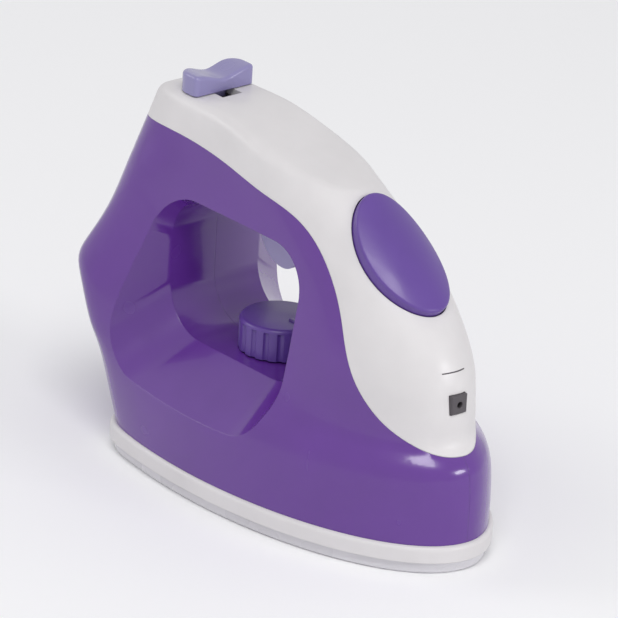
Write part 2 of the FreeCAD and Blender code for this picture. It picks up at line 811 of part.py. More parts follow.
def build_thermostat_dial():
    centre = (DIAL_X, "0", DIAL_BASE)
    straight = "sizes.dial_height - sizes.dial_edge"
    drum = round_bar("dial_drum", centre, "sizes.dial_diameter / 2", straight)
    core = round_bar("dial_core", centre, "sizes.dial_diameter / 2 - sizes.dial_edge", "sizes.dial_height")
    rim = primitive(
        "Torus", "dial_rim", (DIAL_X, "0", "%s + %s" % (DIAL_BASE, straight)),
        Radius1="sizes.dial_diameter / 2 - sizes.dial_edge", Radius2="sizes.dial_edge",
    )
    hollow = round_bar(
        "dial_hollow", centre, "sizes.dial_diameter / 2 - sizes.dial_wall",
        "sizes.dial_height - sizes.dial_wall",
    )
    spindle = round_bar(
        "dial_spindle", (DIAL_X, "0", CLICK_LOW), "sizes.spindle_radius",
        "%s + sizes.dial_height - (%s) - sizes.dial_wall / 2" % (DIAL_BASE, CLICK_LOW),
    )
    grips = ring_of_bars(
        "dial_grip", DIAL_GRIPS, "sizes.dial_diameter / 2 + sizes.dial_grip_radius - sizes.dial_grip_depth",
        DIAL_BASE, "sizes.dial_grip_radius", straight,
    )
    pilot = round_bar(
        "dial_pilot", (DIAL_X, "0", CLICK_LOW), "sizes.dial_screw_radius + sizes.screw_bite_gap",
        "sizes.dial_screw_length + sizes.dial_pilot_spare",
    )
    cup = less("dial_cup", fused("dial_round", drum, core, rim), hollow, *grips)
    return less("thermostat_dial", fused("dial_body", cup, spindle), pilot)


def build_click_wheel():
    centre = (DIAL_X, "0", CLICK_LOW)
    disc = round_bar("click_disc", centre, "sizes.click_wheel_radius", "sizes.click_wheel_height")
    bore = round_bar(
        "click_bore", centre, "sizes.spindle_radius + sizes.screw_bite_gap", "sizes.click_wheel_height"
    )
    notches = ring_of_bars(
        "click_notch", CLICK_NOTCHES, "sizes.click_wheel_radius", CLICK_LOW, "sizes.click_notch_radius",
        "sizes.click_wheel_height",
    )
    return less("click_wheel", disc, bore, *notches)


def build_dial_screw():
    return upward_screw(
        "dial_screw", DIAL_X, CLICK_LOW, "dial", "sizes.dial_screw_radius", "sizes.dial_screw_length"
    )


def build_click_spring():
    """Flat leaf beside the click wheel."""
    return primitive(
        "Box", "click_spring", (DIAL_X + " - sizes.click_leaf_length / 2", CLICK_LEAF_Y, CLICK_LOW),
        Length="sizes.click_leaf_length", Width="sizes.click_leaf_thickness",
        Height="sizes.click_wheel_height",
    )


def click_posts():
    """Two posts under the deck that hold the ends of the click spring."""
    post = size("click_post")
    half = size("click_leaf_length") / 2
    low = worked_out(CLICK_LOW)
    y = worked_out(CLICK_LEAF_Y) + size("click_leaf_thickness")
    height = size("deck_height") - low - size("body_wall") / 2
    starts = (worked_out(DIAL_X) - half, worked_out(DIAL_X) + half - post)
    posts = [Part.makeBox(post, post, height, V(start, y, low)) for start in starts]
    return posts[0].fuse(posts[1])


# Trigger with its pin and spring

def pivot_place():
    return V(worked_out(PIVOT_X), 0, worked_out(PIVOT_Z))


def pad_outline():
    """Side outline of the finger pad under the handle, from front to back."""
    front = worked_out(PIVOT_X) - size("trigger_pad_start")
    length = size("trigger_reach") - size("trigger_pad_start")
    drop = size("trigger_drop")
    low = GRIP_UNDERSIDE - drop
    top = worked_out(ARM_LOW) + size("trigger_arm_thickness") / 2
    y = -size("trigger_width") / 2
    points = [V(front, y, top)]
    points += [V(front - back * length, y, low + up * drop) for back, up in PAD_SHARES]
    return points + [V(front - length, y, top)]


def build_trigger():
    points = pad_outline()
    side = Part.Face(Part.Wire([curve(points), Part.makeLine(points[-1], points[0])]))
    pad = feature("trigger_pad", side.extrude(V(0, size("trigger_width"), 0)))
    hub = round_bar(
        "trigger_hub", (PIVOT_X, "-sizes.trigger_width / 2", PIVOT_Z), "sizes.trigger_hub_radius",
        "sizes.trigger_width", PORT,
    )
    arm = primitive(
        "Box", "trigger_arm_bar", (PIVOT_X + " - sizes.trigger_arm", "-sizes.trigger_width / 2", ARM_LOW),
        Length="sizes.trigger_arm", Width="sizes.trigger_width", Height="sizes.trigger_arm_thickness",
    )
    bore = round_bar(
        "trigger_bore", (PIVOT_X, "-sizes.trigger_width", PIVOT_Z), "sizes.pin_radius + sizes.pin_gap",
        "2 * sizes.trigger_width", PORT,
    )
    return less("trigger", fused("trigger_lever", hub, arm, pad), bore)


def build_trigger_pin():
    return round_bar(
        "trigger_pin", (PIVOT_X, "-sizes.pin_length / 2", PIVOT_Z), "sizes.pin_radius", "sizes.pin_length",
        PORT,
    )


def trigger_coil_space():
    """Room for the coil at rest: its closed turns, the arm's rise there and a spare."""
    rise = size("trigger_coil_back") * math.tan(math.radians(TRIGGER_SWING_DEGREES))
    closed = size("trigger_coil_wire") * (TRIGGER_COIL_TURNS + 1)
    return closed + rise + size("trigger_coil_spare")


def build_trigger_spring():
    length = (
        "(sizes.trigger_coil_wire * %d + sizes.trigger_coil_back * tan(%g) + sizes.trigger_coil_spare"
        " - 2 * sizes.trigger_coil_gap)" % (TRIGGER_COIL_TURNS + 1, TRIGGER_SWING_DEGREES)
    )
    spring = coil(
        "trigger_spring", "sizes.trigger_coil_radius", "sizes.trigger_coil_wire", TRIGGER_COIL_TURNS, length
    )
    spring.setExpression("Placement.Base.x", PIVOT_X + " - sizes.trigger_coil_back")
    spring.setExpression("Placement.Base.z", ARM_TOP + " + sizes.trigger_coil_gap")
    return spring


def pin_bosses(side):
    """Boss for one end of the trigger's pin, out to the side of the handle."""
    start = size("trigger_width") / 2 + size("trigger_gap")
    boss = rod(size("pin_boss_radius"), pivot_place() + V(0, side * start, 0), V(0, side, 0), HALF_WIDTH)
    return boss.common(form(size("body_wall") / 2)).cut(above_cover_edge())


def trigger_slot():
    """Slot through the handle's underside for the finger pad."""
    pivot = worked_out(PIVOT_X)
    half = size("trigger_width") / 2 + size("trigger_gap")
    front = pivot - size("trigger_pad_start") + size("trigger_front_gap")
    back = pivot - size("trigger_reach") - size("trigger_back_gap")
    low = GRIP_UNDERSIDE - OVERRUN
    return Part.makeBox(front - back, 2 * half, size("body_wall") + 2 * OVERRUN, V(back, -half, low))


# Screws that join the two body shells

def cross_screw_places():
    return {name: side_point(*shares) for name, shares in SHELL_SCREW_SHARES.items()}


def build_body_screws():
    """Pan head screws that go in from port."""
    screws = []
    face = "sizes.screw_neck + sizes.screw_head_height"
    for name, (b, z) in SHELL_SCREW_SHARES.items():
        x, height = "(0.5 - %g) * sizes.overall_length" % b, "%g * sizes.ridge_height" % z
        head = round_bar(
            name + "_head", (x, face, height), "sizes.screw_head_radius", "sizes.screw_head_height", STARBOARD
        )
        shaft = round_bar(
            name + "_shaft", (x, "sizes.screw_neck", height), "sizes.screw_radius",
            "sizes.screw_neck + sizes.screw_bite", STARBOARD,
        )
        slot = primitive(
            "Box", name + "_slot",
            (x + " - sizes.screw_head_radius", face, height + " - sizes.driver_slot_width / 2"), STARBOARD,
            Length="2 * sizes.screw_head_radius", Width="sizes.driver_slot_width",
            Height="sizes.driver_slot_depth",
        )
        screws.append(less(name + "_screw", fused(name + "_blank", head, shaft), slot))
    return group("body_screws", screws)


def cross_bosses(side):
    """Bosses of one shell for the screws across the iron, and the wells behind their heads."""
    radius = size("screw_boss_radius")
    if side > 0:
        radius = size("screw_well_radius") + size("screw_well_wall")
    bosses = [rod(radius, place, V(0, side, 0), HALF_WIDTH) for place in cross_screw_places().values()]
    return bosses[0].fuse(bosses[1:]).common(outer).cut(hand_hole(0.0))


def cross_holes(side):
    holes = []
    for place in cross_screw_places().values():
        if side > 0:
            neck = size("screw_neck")
            holes.append(rod(size("screw_radius") + size("screw_hole_gap"), place, PORT, neck))
            holes.append(rod(size("screw_well_radius"), place + V(0, neck, 0), PORT, HALF_WIDTH))
        else:
            bite = size("screw_bite") + size("screw_pilot_spare")
            holes.append(rod(size("screw_radius") + size("screw_bite_gap"), place, STARBOARD, bite))
    return holes[0].fuse(holes[1:])


def lug_boxes(grow):
    """Tongues of the cover that the shells' bosses trap at the upper screws."""
    places = cross_screw_places()
    half = size("lug_thickness") / 2 + grow
    wide = size("lug_width") / 2 + grow
    rear, front = places["rear_upper"], places["front_upper"]
    rear_lug = Part.makeBox(2 * wide, 2 * half, RIDGE - rear.z + wide, V(rear.x - wide, -half, rear.z - wide))
    length = along(surface_back(front.z)) - front.x + wide
    front_lug = Part.makeBox(length, 2 * half, 2 * wide, V(front.x - wide, -half, front.z - wide))
    return rear_lug, front_lug


# Sole, its band and its screws

def sole_screw_expressions():
    """Names and places (x, y) of the screws under the sole."""
    return [
        ("sole_%d_%d" % (row, side > 0),
         "(0.5 - %g) * sizes.overall_length" % b, "%g * sizes.overall_width" % (side * w / 2))
        for row, (b, w) in enumerate(SOLE_SCREW_SHARES)
        for side in (-1, 1)
    ]


def sole_screw_places():
    return [V(worked_out(x), worked_out(y), 0) for _, x, y in sole_screw_expressions()]


def sole_bosses():
    """Bosses for the screws under the sole, each with a web to its side wall."""
    bosses = []
    web, low, high = size("sole_web_thickness"), size("sole_web_bottom"), size("sole_boss_top")
    for place in sole_screw_places():
        corner = V(place.x - web / 2, place.y if place.y > 0 else -HALF_WIDTH, low)
        bosses.append(rod(size("screw_boss_radius"), place + V(0, 0, SOLE_TOP), UP, high - SOLE_TOP))
        bosses.append(Part.makeBox(web, HALF_WIDTH - abs(place.y), high - low, corner))
    return bosses[0].fuse(bosses[1:]).common(outer).cut(hand_hole(0.0))


def sole_pilots():
    length = size("sole_screw_length") + size("screw_pilot_spare")
    radius = size("screw_radius") + size("screw_bite_gap")
    pilots = [rod(radius, place, UP, length) for place in sole_screw_places()]
    return pilots[0].fuse(pilots[1:])


def sole_wire(height, inset):
    """Outline of the band and of the plate under it, all round the body's lower edge."""
    _, _, run, heel, _, rear_half = LEVEL_SHARES[1]
    edge = size("sole_edge")
    line = plan_outline(
        height, 0.0, run * LENGTH, heel * LENGTH + edge, HALF_WIDTH, rear_half * HALF_WIDTH + edge, inset
    )
    return Part.Wire(line.toShape())


def build_soleplate():
    plate = Part.Face(sole_wire(0.0, size("sole_inset"))).extrude(V(0, 0, SOLE_TOP))
    rim = [e for e in plate.Edges if e.BoundBox.ZMax < SOLE_TOP / 2]
    blank = feature("sole_blank", plate.makeFillet(size("sole_edge"), rim))
    hole = "sizes.screw_radius + sizes.screw_hole_gap"
    wide = "sizes.screw_head_radius + sizes.screw_hole_gap"
    tools = []
    for name, x, y in sole_screw_expressions():
        tools.append(round_bar(name + "_hole", (x, y, "0"), hole, "sizes.sole_thickness"))
        tools.append(round_bar(name + "_counterbore", (x, y, "0"), wide, "sizes.sole_head_inset"))
        tools.append(primitive(
            "Cone", name + "_countersink", (x, y, "sizes.sole_head_inset"), Radius1=wide, Radius2=hole,
            Height="sizes.screw_head_height",
        ))
    return less("soleplate", blank, *tools)


def build_sole_band():
    high = BODY_BASE - SOLE_TOP
    ring = Part.Face(sole_wire(SOLE_TOP, 0.0)).extrude(V(0, 0, high))
    rim = [e for e in ring.Edges if e.BoundBox.ZMin > SOLE_TOP + high / 2]
    ring = ring.makeFillet(size("band_edge"), rim)
    ring = ring.cut(Part.Face(sole_wire(SOLE_TOP, size("band_width"))).extrude(V(0, 0, high)))
    wall = size("body_wall") + size("band_lip_gap")
    lip = level_block(wall).common(slab(BODY_BASE - high / 2, BODY_BASE + size("band_lip_height")))
    lip = lip.cut(level_block(wall + size("band_lip_thickness")))
    return feature("sole_band", ring.fuse(lip).removeSplitter())


def build_sole_screws():
    """Countersunk screws that go up through the sole."""
    screws = []
    face = "sizes.sole_head_inset"
    for name, x, y in sole_screw_expressions():
        head = primitive(
            "Cone", name + "_head", (x, y, face), Radius1="sizes.screw_head_radius",
            Radius2="sizes.screw_radius", Height="sizes.screw_head_height",
        )
        shaft = round_bar(name + "_shaft", (x, y, face), "sizes.screw_radius", "sizes.sole_screw_length")
        slot = primitive(
            "Box", name + "_slot",
            (x + " - sizes.screw_head_radius", y + " - sizes.driver_slot_width / 2", face),
            Length="2 * sizes.screw_head_radius", Width="sizes.driver_slot_width",
            Height="sizes.driver_slot_depth",
        )
        screws.append(less(name + "_screw", fused(name + "_blank", head, shaft), slot))
    return group("sole_screws", screws)


# Body shells and cover

def body_skin():
    """Both halves in one: the skin below the cover and the walls round the hand opening."""
    if "body" not in HOLLOWS:
        wall = size("body_wall")
        tunnel = hand_hole(wall).common(form(wall / 2))
        skin = hollow_form(wall).fuse(tunnel).cut(hand_hole(0.0)).cut(above_cover_edge())
        HOLLOWS["body"] = skin.common(slab(BODY_BASE, 2 * RIDGE))
    return HOLLOWS["body"]


def spindle_hole():
    deep = size("body_wall") + 2 * OVERRUN
    low = V(worked_out(DIAL_X), 0, size("deck_height") - size("body_wall") - OVERRUN)
    return rod(size("spindle_radius") + size("spindle_gap"), low, UP, deep)


def pin_hole():
    reach = size("pin_length") / 2 + size("pin_gap")
    radius = size("pin_radius") + size("screw_bite_gap")
    return rod(radius, pivot_place() - V(0, reach, 0), PORT, 2 * reach)


def build_body_shell(name, side):
    """One half of the purple body with its bosses, ledges and posts."""
    extras = [cross_bosses(side), sole_bosses(), seat_ledges()]
    if side > 0:
        extras.append(click_posts())
    bosses = extras[0].fuse(extras[1:]).cut(above_cover_edge()).common(half_space(side))
    shell = body_skin().common(half_space(side)).fuse([bosses, pin_bosses(side)])
    tools = [cross_holes(side), sole_pilots(), pin_hole(), spindle_hole(), trigger_slot()]
    tools += lug_boxes(size("lug_gap"))
    return feature(name, shell.cut(tools[0].fuse(tools[1:])).removeSplitter())


def slider_slot():
    x, gap, deep = worked_out(SLIDER_X), size("slider_gap"), size("cover_wall") + 2 * OVERRUN
    length, width = size("stem_length") + size("slider_travel") + 2 * gap, size("stem_width") + 2 * gap
    corner = V(x - size("stem_length") / 2 - gap, -width / 2, RIDGE - size("cover_wall") - OVERRUN)
    return Part.makeBox(length, width, deep, corner)


def build_handle_cover():
    """White cover over the handle and the front, with its window, slot and lugs."""
    wall = size("cover_wall")
    window = oval(size("button_gap"), -size("button_skirt"), size("button_skirt"))
    cover = hollow_form(wall).common(above_cover_edge()).cut(window)
    place = spray_nozzle_place()
    nozzle_hole = square_rod(
        size("nozzle_size") + 2 * size("nozzle_gap"), place.x + OVERRUN, place.x - wall - OVERRUN, place
    )
    cover = cover.cut(slider_slot()).cut(nozzle_hole)
    boss_low = worked_out(ARM_TOP) + trigger_coil_space()
    boss_place = V(worked_out(PIVOT_X) - size("trigger_coil_back"), 0, boss_low)
    boss = rod(size("coil_boss_radius"), boss_place, UP, RIDGE - boss_low)
    inside = form(wall / 2)
    for lug in (*lug_boxes(0.0), boss):
        cover = cover.fuse(lug.common(inside))
    for name in ("rear_upper", "front_upper"):
        start = cross_screw_places()[name] - V(0, HALF_WIDTH, 0)
        cover = cover.cut(rod(size("screw_radius") + size("screw_hole_gap"), start, PORT, 2 * HALF_WIDTH))
    return feature("handle_cover", cover.removeSplitter())


pieces = [
    build_soleplate(),
    build_sole_band(),
    build_body_shell("body_shell_right", -1),
    build_body_shell("body_shell_left", 1),
    build_handle_cover(),
    build_steam_button(),
    build_button_spring(),
    build_button_seat(),
    build_spray_nozzle(),
    build_thumb_slider(),
    build_slider_bow_spring(),
    build_slider_keeper(),
    build_keeper_screw(),
    build_thermostat_dial(),
    build_click_wheel(),
    build_click_spring(),
    build_dial_screw(),
    build_trigger(),
    build_trigger_pin(),
    build_trigger_spring(),
    build_body_screws(),
    build_sole_screws(),
]
doc.recompute()

for made in doc.Objects:
    if "Invalid" in made.State or "Error" in made.State:
        raise RuntimeError("failed: " + made.Label)
for piece in pieces:
    shape = piece.Shape
    print(piece.Label, len(shape.Solids), round(shape.Volume, 1))
    if shape.isNull() or not shape.isValid():
        raise RuntimeError("bad shape: " + piece.Label)
os.makedirs("parts", exist_ok=True)
for piece in pieces:
    piece.Shape.exportStep("parts/%s.step" % piece.Label)
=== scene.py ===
import json
import math

import bpy
from bpy.props import FloatProperty, FloatVectorProperty, PointerProperty
from bpy.types import Operator, Panel, PropertyGroup
from mathutils import Matrix, Vector

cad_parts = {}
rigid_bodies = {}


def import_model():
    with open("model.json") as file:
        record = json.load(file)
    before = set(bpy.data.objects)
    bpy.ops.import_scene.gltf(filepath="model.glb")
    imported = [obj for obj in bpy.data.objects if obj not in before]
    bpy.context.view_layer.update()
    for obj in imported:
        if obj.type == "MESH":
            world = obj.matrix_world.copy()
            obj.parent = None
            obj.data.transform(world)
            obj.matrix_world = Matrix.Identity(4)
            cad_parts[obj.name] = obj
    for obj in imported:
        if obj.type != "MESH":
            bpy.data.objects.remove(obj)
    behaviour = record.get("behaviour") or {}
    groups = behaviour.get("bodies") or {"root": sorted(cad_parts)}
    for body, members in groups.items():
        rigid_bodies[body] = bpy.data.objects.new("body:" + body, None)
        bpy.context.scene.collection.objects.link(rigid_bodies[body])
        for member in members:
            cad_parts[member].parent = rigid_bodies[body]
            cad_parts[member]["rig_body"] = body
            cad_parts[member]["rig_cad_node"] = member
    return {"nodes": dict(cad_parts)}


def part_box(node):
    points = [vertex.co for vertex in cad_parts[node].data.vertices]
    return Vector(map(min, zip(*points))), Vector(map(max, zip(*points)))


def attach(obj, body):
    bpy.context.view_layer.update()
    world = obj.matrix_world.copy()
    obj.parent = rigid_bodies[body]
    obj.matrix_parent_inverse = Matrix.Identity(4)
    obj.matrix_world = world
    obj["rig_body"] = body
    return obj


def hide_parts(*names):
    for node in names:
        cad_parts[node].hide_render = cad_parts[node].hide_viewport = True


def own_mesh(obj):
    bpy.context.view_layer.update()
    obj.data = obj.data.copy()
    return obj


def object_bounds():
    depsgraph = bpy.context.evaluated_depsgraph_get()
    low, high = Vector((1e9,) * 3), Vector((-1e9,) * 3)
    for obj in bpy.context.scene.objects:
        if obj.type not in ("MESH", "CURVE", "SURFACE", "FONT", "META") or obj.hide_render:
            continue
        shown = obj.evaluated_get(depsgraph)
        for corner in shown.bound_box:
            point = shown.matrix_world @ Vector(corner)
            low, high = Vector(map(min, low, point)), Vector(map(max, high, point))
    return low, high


bl_info = {
    "name": "Toy iron dressing",
    "version": (1, 0, 0),
    "blender": (4, 5, 0),
    "location": "View3D > Sidebar > Toy iron",
    "description": "Finishes, small mouldings and a studio for a toy iron",
    "category": "Object",
}

MM = 0.001
# Vertices nearer to each other than this become one.
MERGE = 0.002 * MM
# Faces that meet at less than these angles, in degrees, are shaded as one surface.
MOULDED_ANGLE = 30.0
TRIM_ANGLE = 35.0
# The push button's way out, square to the front slope.
BUTTON_AXIS = (0.6258, 0, 0.77998)
# Rounding of a small block, as a share of its smallest side, and its steps.
BLOCK_ROUNDING = 0.3
BLOCK_STEPS = 3
# How far out the dial's pointer reaches, as a share of the radius.
POINTER_REACH = 0.8
# Parts that the slit's strip is bent in, and how deep it lies in the cover: at -1 wholly inside, at
# 1 wholly proud. The strip is painted shade: its dark stands in for the shade inside a slit.
STRIP_STEPS = 16
SUNK_SHARE = -0.6

# Sizes of the pigment's clouds, of smudges, of the die's lines on wire and of zinc's crystals.
CLOUD_SIZE = 18 * MM
SMUDGE_SIZE = 9 * MM
DIE_LINE_SIZE = 0.25 * MM
CRYSTAL_SIZE = 0.5 * MM
# The parting line's half width, and its depth in heights of the mould's ripples.
SEAM_HALF_WIDTH = 0.12 * MM
SEAM_DEPTH = 4.0
# Refraction of ABS, and refraction and roughness of its gloss.
ABS_IOR = 1.53
GLOSS_IOR = 1.5
GLOSS_ROUGHNESS = 0.06
BEVEL_SAMPLES = 8
BUMP_STRENGTH = 0.25

# The floor's side, in diagonals of the iron's box.
FLOOR_REACH = 40
# Each lamp's name, its place and width in the same diagonals, and its share of the key light's
# power.
LAMPS = (
    ("key_light", (4.8, -4.2, 10.0), 5.7, 1.0),
    ("fill_light", (-7.9, -5.3, 6.2), 5.3, 0.30),
    ("side_light", (8.4, 2.6, 3.5), 3.1, 0.35),
)
# A lamp's height as a share of its width.
LAMP_SHAPE = 0.6
# Height of the point that the camera looks at.
SIGHT_HEIGHT = 50 * MM
SENSOR_MM = 36.0
NEAR_CLIP = 0.01

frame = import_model()
CAD_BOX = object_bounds()


# Colours

def linear(code):
    """Linear RGB of an sRGB hex value."""
    parts = [int(code[i:i + 2], 16) / 255 for i in (1, 3, 5)]
    return [c / 12.92 if c <= 0.04045 else ((c + 0.055) / 1.055) ** 2.4 for c in parts]


PURPLE_ABS = "#602f90"
WHITE_ABS = "#dcd9da"
LILAC_ABS = "#a39ac6"
BUTTON_ABS = "#5f4094"
SLIDER_ABS = "#8a83b3"
SOLE_ABS = "#d9d7dc"
NOZZLE_ACETAL = "#4f4a4f"
NATURAL_NYLON = "#e4dfd2"
SPRING_STEEL = "#b9babd"
ZINC_DARK = "#a3a7ad"
ZINC_LIGHT = "#c3c6ca"
STUDIO_PAPER = "#fdfdfe"
STUDIO_SKY = "#fbfbfd"


class PlasticSettings(PropertyGroup):
    """Colours and gloss of the moulded plastics."""

    purple: FloatVectorProperty(
        name="Body colour", description="Purple of the two body shells",
        subtype="COLOR", size=3, default=linear(PURPLE_ABS),
    )
    button: FloatVectorProperty(
        name="Button colour", description="Purple of the push button and the dial",
        subtype="COLOR", size=3, default=linear(BUTTON_ABS),
    )
    white: FloatVectorProperty(
        name="Cover colour", description="White of the handle's cover and the band",
        subtype="COLOR", size=3, default=linear(WHITE_ABS),
    )
    slider: FloatVectorProperty(
        name="Slider colour", description="Greyish violet of the thumb slider",
        subtype="COLOR", size=3, default=linear(SLIDER_ABS),
    )
    lilac: FloatVectorProperty(
        name="Trigger colour", description="Pale lilac of the trigger",
        subtype="COLOR", size=3, default=linear(LILAC_ABS),
    )
    sole: FloatVectorProperty(
        name="Sole colour", description="Pale grey of the soleplate",
        subtype="COLOR", size=3, default=linear(SOLE_ABS),
    )
    nozzle: FloatVectorProperty(
        name="Nozzle colour", description="Dark grey of the spray nozzle",
        subtype="COLOR", size=3, default=linear(NOZZLE_ACETAL),
    )
    inner: FloatVectorProperty(
        name="Inner colour", description="Natural plastic of the hidden pieces",
        subtype="COLOR", size=3, default=linear(NATURAL_NYLON),
    )
    edge_radius: FloatProperty(
        name="Edge radius", description="Radius that the eye sees along the moulded edges",
        subtype="DISTANCE", unit="LENGTH", default=0.35 * MM, min=0,
    )


class TrimSettings(PropertyGroup):
    """Sizes of the small mouldings."""

    pointer_length: FloatProperty(
        name="Pointer length", description="Length of the raised pointer on the dial",
        subtype="DISTANCE", unit="LENGTH", default=5.0 * MM, min=0,
    )
    pointer_width: FloatProperty(
        name="Pointer width", description="Width of the raised pointer on the dial",
        subtype="DISTANCE", unit="LENGTH", default=1.4 * MM, min=0,
    )
    pointer_height: FloatProperty(
        name="Pointer height", description="How far the pointer stands up from the dial",
        subtype="DISTANCE", unit="LENGTH", default=0.5 * MM, min=0,
    )
    # The slit over the nozzle is painted shade: a dark strip sunk in the cover stands in for the
    # shade inside a slit.
    slit_length: FloatProperty(
        name="Slit length", description="Length of the dark slit over the nozzle",
        subtype="DISTANCE", unit="LENGTH", default=7.4 * MM, min=0,
    )
    slit_width: FloatProperty(
        name="Slit width", description="Height of the dark slit over the nozzle",
        subtype="DISTANCE", unit="LENGTH", default=0.3 * MM, min=0,
    )
    slit_rise: FloatProperty(
        name="Slit rise", description="From the top of the nozzle up to the slit",
        subtype="DISTANCE", unit="LENGTH", default=4.0 * MM, min=0,
    )
    button_travel: FloatProperty(
        name="Button travel", description="How far the push button closes its spring",
        subtype="DISTANCE", unit="LENGTH", default=2.6 * MM, min=0,
    )
    trigger_rise: FloatProperty(
        name="Trigger rise", description="How far the pulled trigger closes its spring",
        subtype="DISTANCE", unit="LENGTH", default=2.5 * MM, min=0,
    )
    # Painted shade: the strip's dark stands for the shade inside the slit.
    strip_thickness: FloatProperty(
        name="Strip thickness", description="Thickness of the dark strip that shows as the slit",
        subtype="DISTANCE", unit="LENGTH", default=0.3 * MM, min=0,
    )


class StudioSettings(PropertyGroup):
    """Camera and light."""

    azimuth: FloatProperty(
        name="Azimuth", description="Camera's direction round the iron, from behind -Y",
        subtype="ANGLE", unit="ROTATION", default=math.radians(48.6),
    )
    elevation: FloatProperty(
        name="Elevation", description="Camera's height above the horizon",
        subtype="ANGLE", unit="ROTATION", default=math.radians(22.5),
    )
    lean: FloatProperty(
        name="Lean", description="How far the picture's uprights lean to the right",
        subtype="ANGLE", unit="ROTATION", default=math.radians(3.2),
    )
    distance: FloatProperty(
        name="Distance", description="From the camera to the iron",
        subtype="DISTANCE", unit="LENGTH", default=1.98, min=0.1,
    )
    lens: FloatProperty(
        name="Focal length", description="In millimetres, on a 36 mm sensor",
        default=439.0, min=1,
    )
    key_power: FloatProperty(
        name="Key light", description="Power of the large soft light in watts",
        default=16.5, min=0,
    )
    sky: FloatProperty(
        name="Sky", description="Strength of the light from the surroundings",
        default=0.52, min=0,
    )
    mirror: FloatProperty(
        name="Mirrored sky", description="Strength of the surroundings in reflections",
        default=0.8, min=0,
    )


# Materials

def add(tree, kind, values=None, links=None, **settings):
    """Adds a node to a material, sets its fields and inputs, and links sockets into it."""
    made = tree.nodes.new("ShaderNode" + kind)
    for field, value in settings.items():
        setattr(made, field, value)
    for socket, value in (values or {}).items():
        made.inputs[socket].default_value = value
    for socket, source in (links or {}).items():
        tree.links.new(source, made.inputs[socket])
    return made


def new_material(name):
    """An empty material with its tree and output node, or one made before with neither."""
    material = bpy.data.materials.get(name)
    if material:
        return material, None, None
    material = bpy.data.materials.new(name)
    material.use_nodes = True
    tree = material.node_tree
    tree.nodes.clear()
    return material, tree, add(tree, "OutputMaterial")


def moulded(name, colour, roughness, coat, peel, depth, seam=False):
    """Injection moulded plastic: pigment clouds, finger smudges and the mould's fine skin.

    Coat is the weight of its gloss. Peel is the size of the skin's ripples and depth their height,
    in metres. A seam adds the parting line of the two half shells at the centre plane."""
    material, tree, output = new_material(name)
    if tree is None:
        return material
    place = add(tree, "TexCoord").outputs["Object"]
    # Pigment flows in clouds about as wide as a finger, up to 4 percent darker or 3 percent lighter
    # than the plastic.
    clouds = add(
        tree, "TexNoise", {"Scale": 1 / CLOUD_SIZE, "Detail": 3.0, "Roughness": 0.55},
        {"Vector": place},
    )
    shade = add(
        tree, "MapRange", {"From Min": 0.3, "From Max": 0.7, "To Min": 0.96, "To Max": 1.03},
        {"Value": clouds.outputs["Fac"]},
    )
    tint = add(
        tree, "VectorMath", {0: [*colour]}, {1: shade.outputs["Result"]}, operation="MULTIPLY"
    )
    # Smudges from handling leave the gloss uneven over a few millimetres.
    smudge = add(
        tree, "TexNoise", {"Scale": 1 / SMUDGE_SIZE, "Detail": 1.0}, {"Vector": place}
    )
    gloss = add(
        tree, "MapRange",
        {"From Min": 0.3, "From Max": 0.75, "To Min": roughness * 0.85, "To Max": roughness * 1.25},
        {"Value": smudge.outputs["Fac"]},
    )
    skin = add(tree, "TexNoise", {"Scale": 1 / peel, "Detail": 0.0}, {"Vector": place})
    rounded = add(
        tree, "Bevel", {"Radius": settings().plastic.edge_radius}, samples=BEVEL_SAMPLES
    )
    height = skin.outputs["Fac"]
    if seam:
        across = add(tree, "SeparateXYZ", links={"Vector": place})
        away = add(tree, "Math", links={0: across.outputs["Y"]}, operation="ABSOLUTE")
        line = add(
            tree, "MapRange",
            {"From Min": 0.0, "From Max": SEAM_HALF_WIDTH, "To Min": -SEAM_DEPTH, "To Max": 0.0},
            {"Value": away.outputs["Value"]},
        )
        sunk = add(tree, "Math", links={0: height, 1: line.outputs["Result"]})
        height = sunk.outputs["Value"]
    bump = add(
        tree, "Bump", {"Strength": BUMP_STRENGTH, "Distance": depth},
        {"Height": height, "Normal": rounded.outputs["Normal"]},
    )
    surface = add(
        tree, "BsdfPrincipled",
        {"IOR": ABS_IOR, "Coat Weight": coat, "Coat Roughness": GLOSS_ROUGHNESS,
         "Coat IOR": GLOSS_IOR},
        {"Base Color": tint.outputs["Vector"], "Roughness": gloss.outputs["Result"],
         "Normal": bump.outputs["Normal"]},
    )
    tree.links.new(surface.outputs["BSDF"], output.inputs["Surface"])
    return material


def polished_purple_abs():
    """Opaque ABS from a polished mould: deep colour under a clear, slightly rippled gloss."""
    return moulded(
        "polished purple ABS", settings().plastic.purple, roughness=0.22, coat=0.40,
        peel=4.0 * MM, depth=0.02 * MM, seam=True,
    )


def button_purple_abs():
    """ABS of the button and the dial: a finer, less glossy skin, so that a thumb doesn't slip."""
    return moulded(
        "satin purple ABS", settings().plastic.button, roughness=0.36, coat=0.08,
        peel=0.9 * MM, depth=0.03 * MM,
    )


def satin_white_abs():
    """White ABS from a spark eroded mould: an even, soft sheen. Its grain is coarser than real."""
    return moulded(
        "satin white ABS", settings().plastic.white, roughness=0.42, coat=0.10,
        peel=0.8 * MM, depth=0.025 * MM,
    )


def satin_violet_abs():
    """Greyish violet ABS of the slider, glossy enough to show the sky in its hollow top."""
    return moulded(
        "satin violet ABS", settings().plastic.slider, roughness=0.26, coat=0.40,
        peel=1.6 * MM, depth=0.02 * MM,
    )


def satin_lilac_abs():
    """Pale lilac ABS of the trigger."""
    return moulded(
        "satin lilac ABS", settings().plastic.lilac, roughness=0.33, coat=0.15,
        peel=0.9 * MM, depth=0.025 * MM,
    )


def pale_sole_abs():
    """Pale grey ABS of the soleplate, smooth from a ground mould."""
    return moulded(
        "smooth grey ABS", settings().plastic.sole, roughness=0.28, coat=0.15,
        peel=1.4 * MM, depth=0.02 * MM,
    )


